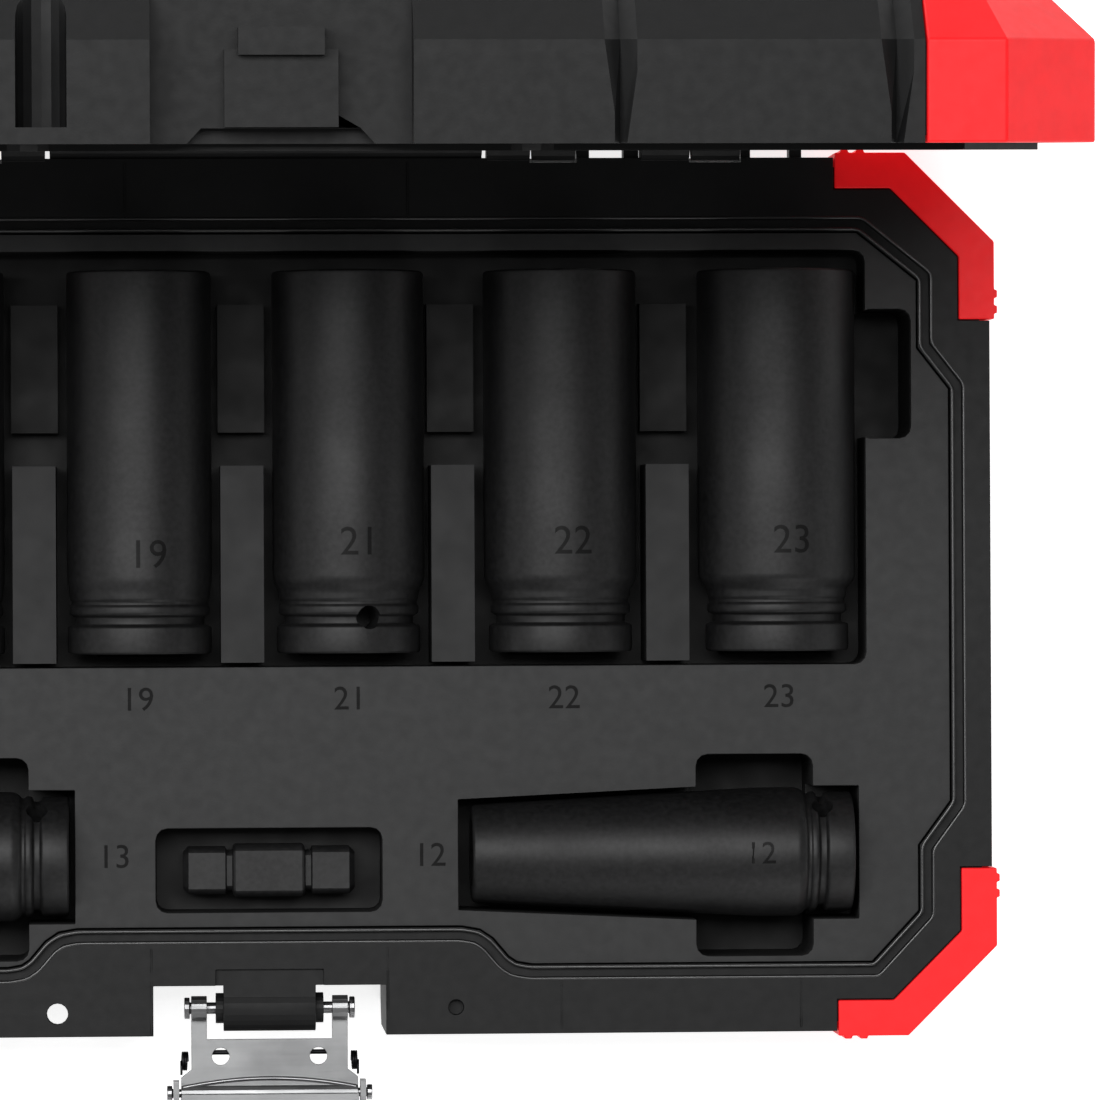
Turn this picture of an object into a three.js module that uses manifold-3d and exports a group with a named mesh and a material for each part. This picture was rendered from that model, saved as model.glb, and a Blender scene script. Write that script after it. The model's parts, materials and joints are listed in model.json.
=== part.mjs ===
// A set of deep impact sockets in a hinged plastic case, lying on its base with the lid open.
// Millimetres, +Z up, +X to the right, +Y towards the hinges, origin at the centre of the underside.
import * as THREE from "three";
import { mergeVertices } from "three/addons/utils/BufferGeometryUtils.js";
import Module from "manifold-3d";

const wasm = await Module();
wasm.setup();

// ---- Driving dimensions -------------------------------------------------------------------

// The case: a rectangle with cut corners, in two tubs that meet at the rim plane.
const CASE = { halfX: 148, halfY: 89.4, corner: 17.7, wall: 2.6, floor: 2.4, flange: 3 };
const RIM = 38; // height of the base, and so of the rim plane
const LID_TOP = RIM + 26.8;
const RIM_GAP = 0.3; // between the two rims when the case is shut
const BASE_BEVEL = { rise: 5, inset: 5 };
const LID_BEVEL = { rise: 7.8, inset: 8 };
const LID_PANEL = { inset: 11, rise: 1.5 }; // raised middle of the lid's top
const CLEAR = 0.3; // between pieces that touch

// Hinges at the back, and how far the lid stands open.
const HINGE = { y: 91.9, radius: 3, bore: 1.25, pin: 1, webDepth: 3.4, webHeight: 6 };
const LID_OPEN = THREE.MathUtils.degToRad(86.8);
const KNUCKLES = [
  { base: [45, 53.8], lid: [54.2, 63] },
  { base: [76.5, 86.4], lid: [86.8, 96.7] },
];
const HINGE_STOPS = [[63.4, 66], [73, 76.1], [97.1, 99], [107, 109.5]]; // blocks between knuckles
const HINGE_LIP = { halfX: 44, radius: 2.2, webDepth: 3, webHeight: 5 };

// The seal: a groove in the base's rim and a tongue on the lid's. It bulges out past the middle
// of each side and steps in behind the latch.
const SEAL = { halfX: 134.8, bulgeX: 141.4, back: 75.9, front: -77, latchY: -69.2 };
const GROOVE = { halfWidth: 0.9, depth: 1.5 };
const TONGUE = { halfWidth: 0.5, depth: 1 };
const TRAY_MARGIN = 1.9; // from the seal's centre line in to the tray's edge
const FOAM = { margin: 5.6, low: 13 }; // from the seal's centre line, and from the rim plane

// The latch recess, the padlock holes and the tapered flutes in the front.
const RECESS = { halfX: 23.7, y: -79.2 };
const PADLOCK = { x: -43.2, y: -84.7, hole: 2.15, channel: 4.6 };
const PEG_HOLE = { x: 38, y: -83.9, radius: 1.6, depth: 2.4 };
const FLUTES = [61, 111];
const FLUTE = { depth: 2.4, rimHalf: 1.6, topHalf: 4.2 };

// The latch: a plate on a pin through a plastic barrel, and a claw on the plate's far end.
const PIN = { y: -84, z: RIM - 5, radius: 1.2, halfX: 17.4, head: 2.2 };
const BARREL = { halfX: 11, radius: 4.7, round: 1.6, backY: -75.9, notch: 1 };
const PLATE = { drop: 2, thick: 1.4, length: 17.5, armIn: 12.8, armOut: 16, flare: 18.1 };
const CLAW = { offset: 1, thick: 1.2, handle: 14.2, reach: 9.2, lip: 3.6, halfX: 18, ear: 19.7 };
const CATCH = {
  low: 3.3,
  shoulder: 17.3,
  top: 21.3,
  halfX: 10.3,
  topHalfX: 7.8,
  front: -83.9,
  topFront: -86.6,
};

// The tray and what lies in it.
const TRAY = { top: RIM - 0.6, plate: 2.2, skin: 1.6, corner: 2.4 };
const AXIS_Z = RIM - 6; // height of every socket's axis
const POCKET = { halfX: 122.4, front: -14.3, back: 70.5, floor: 20 };
const TAB = { halfX: 4.4, front: -13.4, back: 26.8 };
const SADDLE = { halfX: 4.8, front: 33.7, back: 60, top: 26 };
const SOCKET = {
  hexEnd: 66.5,
  length: 78,
  collarLength: 5.7,
  drive: 12.7,
  driveDepth: 18,
  hexDepth: 44,
};
const DEEP_SOCKETS = [
  { size: 17, x: -107.5, radius: 13.7 },
  { size: 18, x: -67.8, radius: 14.2 },
  { size: 19, x: -26.1, radius: 14.75 },
  { size: 21, x: 16.6, radius: 15.5 },
  { size: 22, x: 60, radius: 15.65 },
  { size: 23, x: 104.5, radius: 16.15 },
];
const TAB_XS = [-87.8, -47.5, -5.2, 37.8, 81.7];
const COLLAR_RADIUS = 14.65;
const SLIM = {
  y: -52.8,
  length: 78,
  endRadius: 10,
  shoulderRadius: 13.2,
  neckRadius: 11.6,
  collarRadius: 12.2,
};
const SLIM_NOTCH = { left: -32.2, right: -8.2, front: -21.1, back: 20.2 }; // from the drive end
const SLIM_SOCKETS = [
  { size: 12, driveX: 119.5 },
  { size: 13, driveX: -40.7 },
];
const COUPLER = {
  y: -55.9,
  halfX: 17.5,
  square: 9.6,
  middle: 10.6,
  middleHalfX: 7.2,
  groove: 1.5,
  z: 30,
};
const COUPLER_POCKET = { halfX: 23.1, back: -47.1, front: -64.3, floor: 24 };
const FINGER = { x0: 121, x1: 131.8, y0: 31.9, y1: 58.4, floor: 12 };

// Red corner guards, clipped over the corners of both rims.
const GUARD = { proud: 1, depth: 1.6, band: 6.3, bandThick: 1.4, legX: 116.3, legY: 56.2, low: 6 };
const RIDGE = { half: 0.8, proud: 0.6, insets: [2, 5.2] };

const ROUND = 24; // sides of the sockets and other large round pieces
const SMALL_ROUND = 16;
const FAR = 400; // longer than the whole object

// ---- Solids -------------------------------------------------------------------------------

// A closed three.js geometry as a solid that can be joined and cut.
function solid(geometry) {
  const bare = geometry.index ? geometry.toNonIndexed() : geometry.clone();
  bare.deleteAttribute("normal");
  bare.deleteAttribute("uv");
  const merged = mergeVertices(bare, 1e-4);
  return new wasm.Manifold(
    new wasm.Mesh({
      numProp: 3,
      vertProperties: merged.attributes.position.array,
      triVerts: new Uint32Array(merged.index.array),
    }),
  );
}

function geometryOf(made) {
  const { numProp, numVert, vertProperties, triVerts } = made.getMesh();
  const position = new Float32Array(numVert * 3);
  for (let i = 0; i < numVert; i++)
    position.set(vertProperties.subarray(i * numProp, i * numProp + 3), i * 3);
  return new THREE.BufferGeometry()
    .setAttribute("position", new THREE.BufferAttribute(position, 3))
    .setIndex(new THREE.BufferAttribute(triVerts, 1));
}

function box([x0, x1], [y0, y1], [z0, z1]) {
  const geometry = new THREE.BoxGeometry(x1 - x0, y1 - y0, z1 - z0);
  return solid(geometry.translate((x0 + x1) / 2, (y0 + y1) / 2, (z0 + z1) / 2));
}

function prism(points, [z0, z1]) {
  const shape = new THREE.Shape(points.map(([x, y]) => new THREE.Vector2(x, y)));
  const geometry = new THREE.ExtrudeGeometry(shape, { depth: z1 - z0, bevelEnabled: false });
  return solid(geometry.translate(0, 0, z0));
}

// A cylinder along X, Y or Z between two places on that axis.
function rod(axis, [from, to], radius, [a, b], sides = SMALL_ROUND) {
  const geometry = new THREE.CylinderGeometry(radius, radius, to - from, sides);
  const middle = (from + to) / 2;
  if (axis === "x") return solid(geometry.rotateZ(Math.PI / 2).translate(middle, a, b));
  if (axis === "y") return solid(geometry.translate(a, middle, b));
  return solid(geometry.rotateX(Math.PI / 2).translate(a, b, middle));
}

// Moves each side of a closed counter-clockwise outline out by a distance, keeping its corners.
function offset(points, distance) {
  return points.map(([x, y], i) => {
    const before = points.at(i - 1);
    const after = points[(i + 1) % points.length];
    const into = new THREE.Vector2(x - before[0], y - before[1]).normalize();
    const out = new THREE.Vector2(after[0] - x, after[1] - y).normalize();
    const stretch = distance / (1 + into.dot(out));
    return [x + (into.y + out.y) * stretch, y - (into.x + out.x) * stretch];
  });
}

// An outline given for x >= 0, from front to back, completed by its mirror image.
const mirrored = (right) => [
  ...right,
  ...right.filter(([x]) => x > 0).map(([x, y]) => [-x, y]).reverse(),
];

const both = (make) => make(1).add(make(-1));
const span = (a, b) => [Math.min(a, b), Math.max(a, b)];

// ---- Outlines -----------------------------------------------------------------------------

function caseOutline(grow) {
  const { halfX, halfY, corner } = CASE;
  const right = [
    [halfX - corner, -halfY],
    [halfX, corner - halfY],
    [halfX, halfY - corner],
    [halfX - corner, halfY],
  ];
  return offset(mirrored(right), grow);
}

function sealOutline() {
  const { halfX, bulgeX, back, front, latchY } = SEAL;
  const step = new THREE.CubicBezierCurve(
    new THREE.Vector2(39, latchY),
    new THREE.Vector2(47, latchY),
    new THREE.Vector2(45, front),
    new THREE.Vector2(53, front),
  );
  const right = [
    ...step.getPoints(6).map((p) => [p.x, p.y]),
    [halfX - 10.6, front],
    [halfX, front + 11.4],
    [halfX, -52],
    [bulgeX, -43],
    [bulgeX, 42.6],
    [halfX, 51],
    [halfX, back - 10.8],
    [halfX - 13.4, back],
  ];
  return mirrored(right);
}

// A rectangle with rounded corners.
function roundedOutline([x0, x1], [y0, y1], radius, steps = 3) {
  const centres = [
    [x1 - radius, y1 - radius],
    [x0 + radius, y1 - radius],
    [x0 + radius, y0 + radius],
    [x1 - radius, y0 + radius],
  ];
  return centres.flatMap(([x, y], quarter) =>
    Array.from({ length: steps + 1 }, (_, i) => {
      const turn = ((quarter + i / steps) * Math.PI) / 2;
      return [x + radius * Math.cos(turn), y + radius * Math.sin(turn)];
    }),
  );
}

// The case's outline between two heights, with its edge bevelled at the top or at the bottom.
function caseBlock(grow, [z0, z1], bevel, bevelAtTop) {
  const points = caseOutline(grow);
  const shape = new THREE.Shape(points.map(([x, y]) => new THREE.Vector2(x, y)));
  const bevelled = new THREE.ExtrudeGeometry(shape, {
    depth: z1 - z0 - 2 * bevel.rise,
    bevelThickness: bevel.rise,
    bevelSize: bevel.inset,
    bevelOffset: -bevel.inset,
    bevelSegments: 1,
  });
  const middle = (z0 + z1) / 2;
  const straight = prism(points, bevelAtTop ? [z0, middle] : [middle, z1]);
  return solid(bevelled.translate(0, 0, z0 + bevel.rise)).add(straight);
}

// ---- Features shared by the base and the lid -----------------------------------------------

// A tube of the seal's outline, within halfWidth of its centre line.
const sealRing = (halfWidth, heights) =>
  prism(offset(sealOutline(), halfWidth), heights).subtract(
    prism(offset(sealOutline(), -halfWidth), heights),
  );

const trayHole = (heights) => prism(offset(sealOutline(), CLEAR - TRAY_MARGIN), heights);

// Tapered flutes down the front: narrow at the rim, wide at the bevel, and on through it.
// Each station is a height, a half width and how far in the case's surface lies there.
function flutes(rimZ, bevelZ, endZ, inset) {
  const stations = [
    [rimZ, FLUTE.rimHalf, 0],
    [bevelZ, FLUTE.topHalf, 0],
    [endZ, FLUTE.topHalf, inset],
  ].sort((a, b) => a[0] - b[0]);
  const section = new THREE.Shape([
    new THREE.Vector2(-1, -1),
    new THREE.Vector2(1, -1),
    new THREE.Vector2(0, FLUTE.depth),
  ]);
  const flute = (x) => {
    const geometry = new THREE.ExtrudeGeometry(section, { depth: 2, steps: 2, bevelEnabled: false });
    const position = geometry.attributes.position;
    for (let i = 0; i < position.count; i++) {
      const [z, half, inward] = stations[Math.round(position.getZ(i))];
      const y = position.getY(i) - CASE.halfY + inward;
      position.setXYZ(i, x + position.getX(i) * half, y, z);
    }
    return solid(geometry);
  };
  return FLUTES.flatMap((x) => [flute(x), flute(-x)]).reduce((all, one) => all.add(one));
}

const padlockChannel = (radius, heights) =>
  rod("z", heights, radius, [PADLOCK.x, PADLOCK.y]).add(
    box([PADLOCK.x - radius, PADLOCK.x + radius], [-FAR, PADLOCK.y], heights),
  );

const recess = (grow, heights) =>
  box([-RECESS.halfX - grow, RECESS.halfX + grow], [-FAR, RECESS.y + grow], heights);

// One half's knuckles, and the room that the other half leaves for them.
function knuckles(which, side) {
  const web = [RIM, RIM + side * HINGE.webHeight];
  const make = ([x0, x1]) =>
    rod("x", [x0, x1], HINGE.radius, [HINGE.y, RIM])
      .add(box([x0, x1], [HINGE.y - HINGE.webDepth, HINGE.y], span(...web)))
      .subtract(rod("x", [x0 - 1, x1 + 1], HINGE.bore, [HINGE.y, RIM]));
  return KNUCKLES.flatMap((k) => [make(k[which]), make(k[which].map((x) => -x).reverse())]).reduce(
    (all, one) => all.add(one),
  );
}

function knuckleRoom(which) {
  const make = ([x0, x1]) =>
    rod("x", [x0 - 0.4, x1 + 0.4], HINGE.radius + 0.5, [HINGE.y, RIM]);
  return KNUCKLES.flatMap((k) => [make(k[which]), make(k[which].map((x) => -x).reverse())]).reduce(
    (all, one) => all.add(one),
  );
}

// The corner that a guard covers, as a tall block: sx and sy pick the corner.
const guardCorner = (sx, sy, grow) =>
  box(
    span(sx * (GUARD.legX - grow), sx * FAR),
    span(sy * (GUARD.legY - grow), sy * FAR),
    [-FAR, FAR],
  );

// Small upright ridges on the outside near the ends of a guard's two legs.
function guardRidges(sx, sy, heights) {
  const out = GUARD.proud + RIDGE.proud;
  const ridges = RIDGE.insets.flatMap((inset) => [
    box(
      [sx * (GUARD.legX + inset) - RIDGE.half, sx * (GUARD.legX + inset) + RIDGE.half],
      span(sy * (CASE.halfY - 1), sy * (CASE.halfY + out)),
      heights,
    ),
    box(
      span(sx * (CASE.halfX - 1), sx * (CASE.halfX + out)),
      [sy * (GUARD.legY + inset) - RIDGE.half, sy * (GUARD.legY + inset) + RIDGE.half],
      heights,
    ),
  ]);
  return ridges.reduce((all, one) => all.add(one));
}

// Everything that the guards of one half fill, before it is parted into corners.
function guardSkin(grow, heights, bevel, bevelAtTop, bandHeights) {
  const [z0, z1] = heights;
  const outer = caseBlock(GUARD.proud, heights, bevel, bevelAtTop);
  const cut = bevelAtTop ? [z0 - 1, z1 - GUARD.depth - grow] : [z0 + GUARD.depth + grow, z1 + 1];
  const core = caseBlock(-GUARD.depth - grow, cut, bevel, bevelAtTop);
  const band = prism(caseOutline(0), bandHeights).subtract(
    prism(caseOutline(-GUARD.band - grow), [bandHeights[0] - 1, bandHeights[1] + 1]),
  );
  return outer.subtract(core).add(band);
}

const baseGuardSkin = (grow) =>
  guardSkin(grow, [0, RIM], BASE_BEVEL, false, [RIM - GUARD.bandThick - grow, RIM]).subtract(
    box([-FAR, FAR], [-FAR, FAR], [-1, GUARD.low - grow]),
  );

const lidGuardSkin = (grow) => {
  const rim = RIM + RIM_GAP;
  return guardSkin(grow, [rim, LID_TOP], LID_BEVEL, true, [rim, rim + GUARD.bandThick + grow])
    .subtract(prism(caseOutline(-LID_BEVEL.inset - 1 - grow), [LID_TOP - 4, LID_TOP + 1]));
};

const corners = [
  ["back_right", 1, 1],
  ["back_left", -1, 1],
  ["front_right", 1, -1],
  ["front_left", -1, -1],
];

const guardRoom = (skin) =>
  skin.intersect(
    corners.map(([, sx, sy]) => guardCorner(sx, sy, CLEAR)).reduce((all, one) => all.add(one)),
  );

// ---- Base ---------------------------------------------------------------------------------

function baseShell() {
  const under = RIM - CASE.flange;
  const hollow = caseBlock(-CASE.wall, [CASE.floor, under], BASE_BEVEL, false)
    .subtract(recess(CASE.wall, [0, RIM]))
    .subtract(padlockChannel(PADLOCK.channel + CASE.wall, [0, RIM]))
    .add(trayHole([under - 1, RIM + 1]));
  const { halfX, radius, round, backY } = BARREL;
  const boss = rod("x", [-halfX + round, halfX - round], radius, [PIN.y, PIN.z], ROUND)
    .add(rod("x", [-halfX, halfX], radius - round, [PIN.y, PIN.z], ROUND))
    .add(box([-halfX + round, halfX - round], [PIN.y, backY], [PIN.z - radius, PIN.z + 4]));
  const lip = rod("x", [-HINGE_LIP.halfX, HINGE_LIP.halfX], HINGE_LIP.radius, [HINGE.y, RIM]).add(
    box(
      [-HINGE_LIP.halfX, HINGE_LIP.halfX],
      [HINGE.y - HINGE_LIP.webDepth, HINGE.y],
      [RIM - HINGE_LIP.webHeight, RIM - CLEAR],
    ),
  );
  const stop = ([x0, x1]) =>
    box([x0, x1], [CASE.halfY - 1, HINGE.y + 1.2], [RIM - HINGE.webHeight, RIM - CLEAR]);
  const stops = HINGE_STOPS.flatMap(([x0, x1]) => [stop([x0, x1]), stop([-x1, -x0])]).reduce(
    (all, one) => all.add(one),
  );
  return caseBlock(0, [0, RIM], BASE_BEVEL, false)
    .subtract(hollow)
    .subtract(sealRing(GROOVE.halfWidth, [RIM - GROOVE.depth, RIM + 1]))
    .subtract(recess(0, [-1, RIM + 1]))
    .subtract(box([-BARREL.halfX, BARREL.halfX], [-FAR, BARREL.backY], [RIM - BARREL.notch, RIM + 1]))
    .subtract(padlockChannel(PADLOCK.channel, [-1, under]))
    .subtract(rod("z", [0, RIM + 1], PADLOCK.hole, [PADLOCK.x, PADLOCK.y]))
    .subtract(rod("z", [RIM - PEG_HOLE.depth, RIM + 1], PEG_HOLE.radius, [PEG_HOLE.x, PEG_HOLE.y]))
    .subtract(flutes(under, BASE_BEVEL.rise, 0, BASE_BEVEL.inset))
    .subtract(knuckleRoom("lid"))
    .subtract(guardRoom(baseGuardSkin(CLEAR)))
    .add(knuckles("base", -1))
    .add(stops)
    .add(lip)
    .add(boss)
    .subtract(rod("x", [-BARREL.halfX - 1, BARREL.halfX + 1], PIN.radius + CLEAR, [PIN.y, PIN.z]));
}

function baseGuard([, sx, sy]) {
  return baseGuardSkin(0)
    .intersect(guardCorner(sx, sy, 0))
    .add(guardRidges(sx, sy, [RIM - 22, RIM]));
}

// ---- Lid, drawn shut ------------------------------------------------------------------------

function lidShell() {
  const rim = RIM + RIM_GAP;
  const under = rim + CASE.flange;
  const shut = [rim, LID_TOP];
  const hollow = caseBlock(-CASE.wall, [under, LID_TOP - CASE.wall], LID_BEVEL, true)
    .subtract(recess(CASE.wall, [RIM, LID_TOP]))
    .subtract(padlockChannel(PADLOCK.channel + CASE.wall, [RIM, LID_TOP]))
    .add(trayHole([rim - 1, under + 1]));
  const { low, shoulder, top, halfX, topHalfX, front, topFront } = CATCH;
  const catchBlock = box([-halfX, halfX], [front, RECESS.y + 1], [RIM + low, RIM + shoulder]).add(
    box([-topHalfX, topHalfX], [topFront, RECESS.y + 1], [RIM + shoulder - 1, RIM + top]),
  );
  // The rim is cut away in front of the barrel.
  const notch = [[-18, rim - 1], [18, rim - 1], [14.5, RIM + 3.1], [-14.5, RIM + 3.1]];
  const barrelNotch = solid(
    new THREE.ExtrudeGeometry(new THREE.Shape(notch.map(([x, y]) => new THREE.Vector2(x, y))), {
      depth: 6,
      bevelEnabled: false,
    })
      .rotateX(Math.PI / 2)
      .translate(0, BARREL.backY + 1, 0),
  );
  return caseBlock(0, shut, LID_BEVEL, true)
    .add(prism(caseOutline(-LID_PANEL.inset), [LID_TOP - 1, LID_TOP + LID_PANEL.rise]))
    .subtract(hollow)
    .add(sealRing(TONGUE.halfWidth, [RIM - TONGUE.depth, rim + 1]))
    .subtract(recess(0, [0, FAR]))
    .subtract(padlockChannel(PADLOCK.channel, [under, FAR]))
    .subtract(rod("z", [RIM, LID_TOP], PADLOCK.hole, [PADLOCK.x, PADLOCK.y]))
    .subtract(flutes(rim, LID_TOP - LID_BEVEL.rise, LID_TOP, LID_BEVEL.inset))
    .subtract(barrelNotch)
    .subtract(knuckleRoom("base"))
    .subtract(guardRoom(lidGuardSkin(CLEAR)))
    .add(knuckles("lid", 1))
    .add(catchBlock);
}

function lidGuard([, sx, sy]) {
  return lidGuardSkin(0).intersect(guardCorner(sx, sy, 0));
}

// The pad that presses the sockets into their troughs.
const lidFoam = () =>
  prism(offset(sealOutline(), -FOAM.margin), [RIM + FOAM.low, LID_TOP - CASE.wall - CLEAR]);

// ---- Latch, drawn as it stands open ---------------------------------------------------------

const PIVOT = { y: PIN.y - PLATE.length, z: PIN.z - PLATE.drop };

function headedPin(halfX, radius, head, at) {
  return rod("x", [-halfX, halfX], radius, at).add(
    both((s) => rod("x", span(s * (halfX - 1.1), s * halfX), head, at)),
  );
}

function latchPlate() {
  const { thick, armIn, armOut, flare } = PLATE;
  const bodyY = PIN.y - 6.5;
  const endY = PIVOT.y + 1.6;
  const right = [
    [armOut, endY + 3.2],
    [armOut, PIN.y],
    [armIn, PIN.y],
    [armIn, bodyY],
  ];
  const outline = [
    [-flare, endY],
    [flare, endY],
    [flare, endY + 1.6],
    ...right,
    ...right.map(([x, y]) => [-x, y]).reverse(),
    [-flare, endY + 1.6],
  ];
  const eye = (s) => {
    const across = span(s * armIn, s * armOut);
    return rod("x", across, PIN.radius + 1.3, [PIN.y, PIN.z]).add(
      box(across, [PIN.y - 2.5, PIN.y], [PIVOT.z - thick / 2, PIN.z]),
    );
  };
  const curl = rod("x", [-flare, flare], 1.7, [PIVOT.y, PIVOT.z])
    .add(box([-flare, flare], [PIVOT.y, endY + 0.5], [PIVOT.z - thick / 2, PIVOT.z + thick / 2]));
  return prism(outline, [PIVOT.z - thick / 2, PIVOT.z + thick / 2])
    .add(both(eye))
    .add(curl)
    .subtract(both((s) => rod("z", [PIVOT.z - 3, PIVOT.z + 3], 1.8, [s * 10, PIN.y - 10])))
    .subtract(rod("x", [-FAR, FAR], PIN.radius + 0.2, [PIN.y, PIN.z]))
    .subtract(rod("x", [-FAR, FAR], 1.1, [PIVOT.y, PIVOT.z]));
}

function latchClaw() {
  const { thick, handle, reach, lip, halfX, ear } = CLAW;
  const inner = PIVOT.y - CLAW.offset - 1;
  const outer = inner - thick;
  const across = [outer, inner];
  const earSide = (s) =>
    box(span(s * (ear - 1.2), s * ear), [outer, PIVOT.y + 2.6], [PIVOT.z - 2.6, PIVOT.z + 2.6]);
  return box([-halfX, halfX], across, [PIVOT.z, PIVOT.z + reach + thick])
    .add(box([-ear, ear], across, [PIVOT.z - 2.6, PIVOT.z + 2.6]))
    .add(box([-15.4, 15.4], across, [PIVOT.z - handle, PIVOT.z]))
    .add(box([-halfX, halfX], [outer, outer + lip], [PIVOT.z + reach, PIVOT.z + reach + thick]))
    .add(both(earSide))
    .subtract(rod("x", [-FAR, FAR], 1.1, [PIVOT.y, PIVOT.z]));
}

// A few turns of wire as a short tube with a straight leg towards the claw.
function latchSpring(s) {
  const at = [PIN.y - 10.9, PIVOT.z];
  const across = span(s * 16.5, s * 18.3);
  const leg = span(s * 17.1, s * 17.9);
  return rod("x", across, 2, at)
    .subtract(rod("x", [-FAR, FAR], 1.2, at))
    .add(box(leg, [at[0] - 3, at[0] - 1.5], [at[1] + 1.2, at[1] + 2]));
}

// ---- Sockets and coupler, drawn along +Z with the drive end at the origin -------------------

// A hexagonal or square hole for a lathe-turned body.
function polygonHole(acrossFlats, sides, [z0, z1]) {
  const radius = acrossFlats / 2 / Math.cos(Math.PI / sides);
  const geometry = new THREE.CylinderGeometry(radius, radius, z1 - z0, sides);
  return solid(geometry.rotateX(Math.PI / 2).rotateZ(Math.PI / sides).translate(0, 0, (z0 + z1) / 2));
}

function turned(profile) {
  const points = profile.map(([r, z]) => new THREE.Vector2(r, z));
  return solid(new THREE.LatheGeometry(points, ROUND).rotateX(Math.PI / 2));
}

// The drive square, the round bore behind it, the hexagon, and the hole for the retaining pin.
function bored(body, size, length) {
  const { drive, driveDepth, hexDepth } = SOCKET;
  return body
    .subtract(polygonHole(drive, 4, [-1, driveDepth]))
    .subtract(rod("z", [driveDepth - 1, length - hexDepth + 1], Math.min(size, drive) / 2 - 0.4, [0, 0]))
    .subtract(polygonHole(size, 6, [length - hexDepth, length + 1]))
    .subtract(rod("x", [0, FAR], 2.4, [0, SOCKET.collarLength + 1.5], 12));
}

function deepSocket({ size, radius }) {
  const { length, collarLength } = SOCKET;
  const collar = Math.min(COLLAR_RADIUS, radius);
  const profile = [
    [0, 0],
    [collar - 0.7, 0],
    [collar, 0.7],
    [collar, collarLength - 0.4],
    [collar - 1.3, collarLength],
    [collar - 1.3, collarLength + 2],
    [collar - 0.4, collarLength + 3],
    [collar - 0.6, collarLength + 5.5],
    [radius, collarLength + 8],
    [radius, length - 0.8],
    [radius - 0.8, length],
    [0, length],
  ];
  return bored(turned(profile), size, length);
}

function slimSocket({ size }) {
  const { length, endRadius, shoulderRadius, neckRadius, collarRadius } = SLIM;
  const { collarLength } = SOCKET;
  const profile = [
    [0, 0],
    [collarRadius - 0.7, 0],
    [collarRadius, 0.7],
    [collarRadius, collarLength - 0.4],
    [neckRadius, collarLength],
    [neckRadius, collarLength + 2],
    [shoulderRadius - 0.6, collarLength + 3],
    [shoulderRadius - 0.6, collarLength + 4.5],
    [shoulderRadius, collarLength + 5.5],
    [shoulderRadius, collarLength + 14],
    [endRadius, length - 0.8],
    [endRadius - 0.8, length],
    [0, length],
  ];
  return bored(turned(profile), size, length);
}

function coupler() {
  const { y, halfX, square, middle, middleHalfX, groove, z } = COUPLER;
  const half = square / 2;
  const block = (width, xs) => box(xs, [y - width / 2, y + width / 2], [z - width / 2, z + width / 2]);
  return block(square - 1.6, [-halfX, halfX])
    .add(block(middle, [-middleHalfX, middleHalfX]))
    .add(both((s) => block(square, span(s * (middleHalfX + groove), s * (halfX - 0.4)))))
    .subtract(rod("y", [y - half - 1, y - half + 1.6], 1.6, [halfX - 4.5, z], 12));
}

// ---- Tray ---------------------------------------------------------------------------------

// Everything below is scooped out of the tray, grown by the tray's skin for a well's outside.
const WELL_TOP = RIM + 2;

function well(xs, ys, floor, grow) {
  const [x, y] = [xs, ys].map(([low, high]) => [low - grow, high + grow]);
  return prism(roundedOutline(x, y, TRAY.corner + grow), [floor - grow, WELL_TOP]);
}

// The long well for the deep sockets, with a tab and a saddle between each two of them.
function mainWell(grow) {
  const { halfX, front, back, floor } = POCKET;
  const post = (x, { halfX: half, front: y0, back: y1 }, top) =>
    box([x - half + grow, x + half - grow], [y0 + grow, y1 - grow], [0, top]);
  let made = well([-halfX, halfX], [front, back], floor, grow);
  for (const x of TAB_XS) {
    made = made.subtract(post(x, TAB, TRAY.top - grow)).subtract(post(x, SADDLE, SADDLE.top - grow));
  }
  const room = CLEAR + grow;
  const ends = [SOCKET.hexEnd - SOCKET.length - 0.5 - room, SOCKET.hexEnd + 0.5 + room];
  for (const { x, radius } of DEEP_SOCKETS) {
    made = made.add(rod("y", ends, radius + room, [x, AXIS_Z], ROUND));
  }
  return made;
}

// A slim socket's well: wide at the drive end, with a notch for the fingers on both sides.
function slimWell({ driveX }, grow) {
  const { left, right, front, back } = SLIM_NOTCH;
  const [wideX, wide, narrowX, narrow] = [driveX + 1.2, 13.6, driveX - SLIM.length - 2.9, 11.3];
  const outline = [
    [narrowX - grow, -narrow - grow],
    [driveX + left, -wide - grow],
    [wideX + grow, -wide - grow],
    [wideX + grow, wide + grow],
    [driveX + left, wide + grow],
    [narrowX - grow, narrow + grow],
  ];
  return prism(
    outline.map(([x, y]) => [x, y + SLIM.y]),
    [AXIS_Z - SLIM.shoulderRadius - CLEAR - grow, WELL_TOP],
  ).add(well([driveX + left, driveX + right], [SLIM.y + front, SLIM.y + back], FINGER.floor, grow));
}

function couplerWell(grow) {
  const { halfX, front, back, floor } = COUPLER_POCKET;
  return well([-halfX, halfX], [front, back], floor, grow);
}

const fingerWell = (grow) =>
  well([FINGER.x0, FINGER.x1], [FINGER.y0, FINGER.y1], FINGER.floor, grow);

const WELLS = {
  tray_well_main: mainWell,
  tray_well_finger: fingerWell,
  tray_well_12: (grow) => slimWell(SLIM_SOCKETS[0], grow),
  tray_well_13: (grow) => slimWell(SLIM_SOCKETS[1], grow),
  tray_well_coupler: couplerWell,
};

// Where the tabs reach up through the main well's mouth, to the top of the plate.
const tabColumns = () =>
  TAB_XS.map((x) => box([x - TAB.halfX, x + TAB.halfX], [TAB.front, TAB.back], [0, TRAY.top])).reduce(
    (all, one) => all.add(one),
  );

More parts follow.
